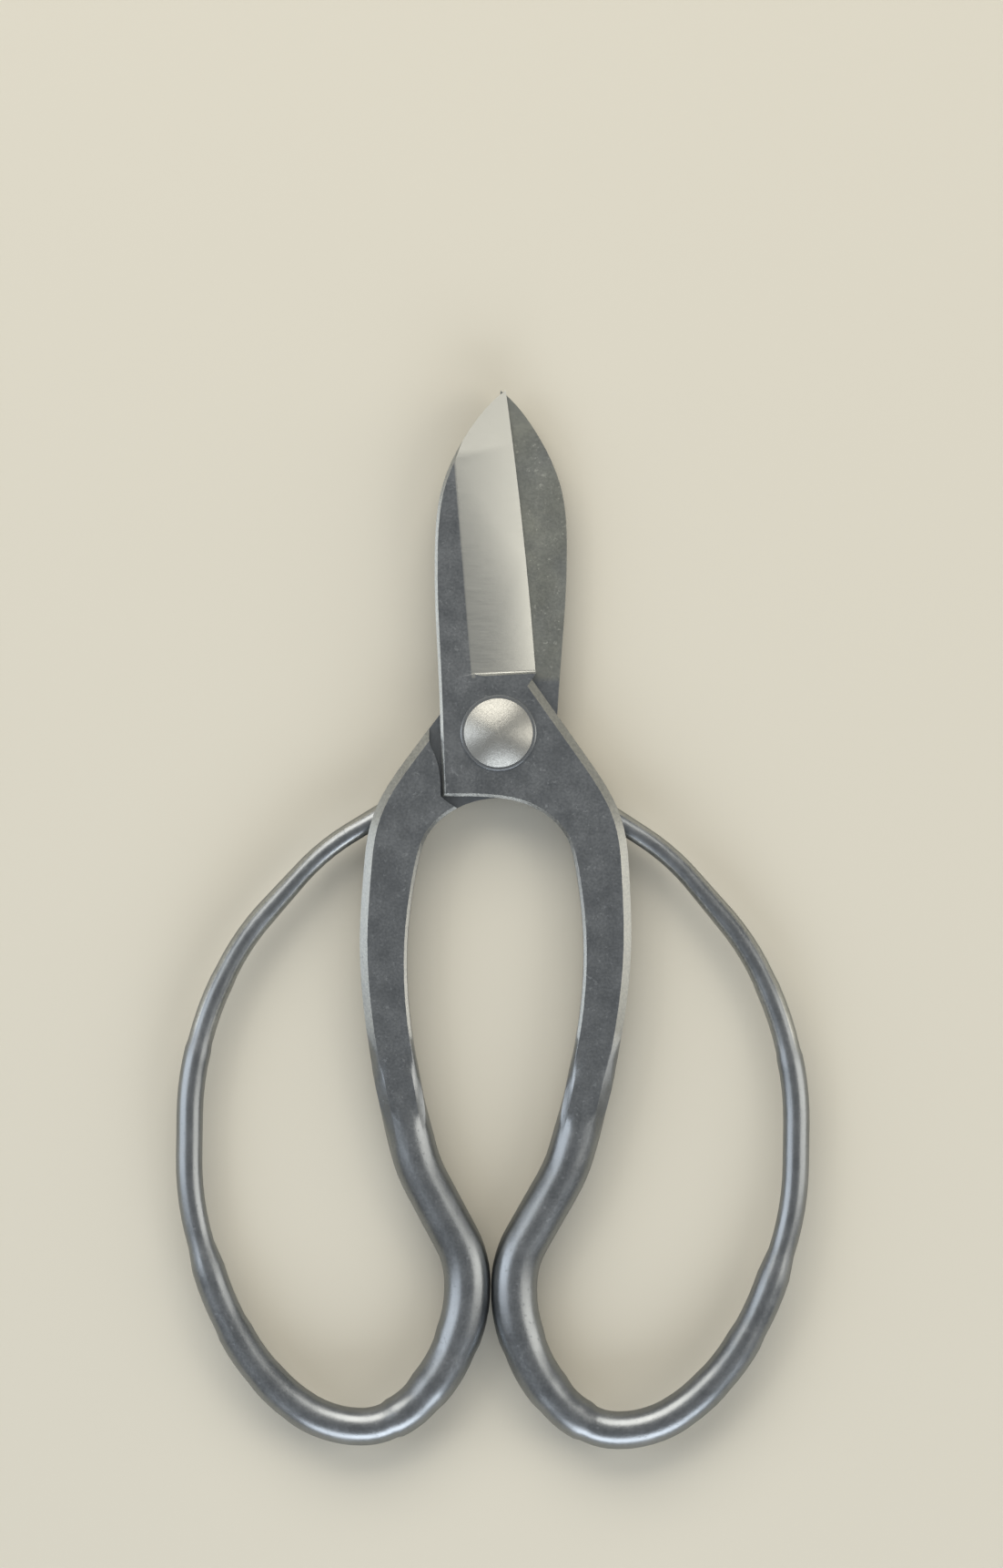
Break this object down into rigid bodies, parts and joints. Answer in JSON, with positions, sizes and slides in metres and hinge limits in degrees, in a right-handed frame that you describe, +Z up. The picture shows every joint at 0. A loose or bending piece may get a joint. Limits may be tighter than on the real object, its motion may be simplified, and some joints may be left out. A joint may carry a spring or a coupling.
{
  "type": "floral snips",
  "caption": "Forged steel floral snips with a lap pivot and a ring-shaped loop at the end of each handle.",
  "frame": {"origin": "centre of the rear rivet head's flat, where the closed snips rest on a table", "axes": "+X towards the right half seen from the front, +Y from the loops to the tips, +Z up from the table"},
  "size_m": [0.0988, 0.165, 0.0108],
  "materials": {
    "forged_steel": "brushed",
    "rivet_steel": "turned",
    "washer_steel": "turned"
  },
  "bodies": {
    "rear_half": {"rear_half": "forged_steel", "pivot_rivet": "rivet_steel", "front_washer": "washer_steel", "rear_washer": "washer_steel"},
    "front_half": {"front_half": "forged_steel"}
  },
  "joints": [
    {"name": "pivot", "type": "hinge", "parent": "rear_half", "child": "front_half", "pos_m": [0, 0, 0.0049], "axis": [0, 0, 1], "range_deg": [0, 27.5]}
  ]
}
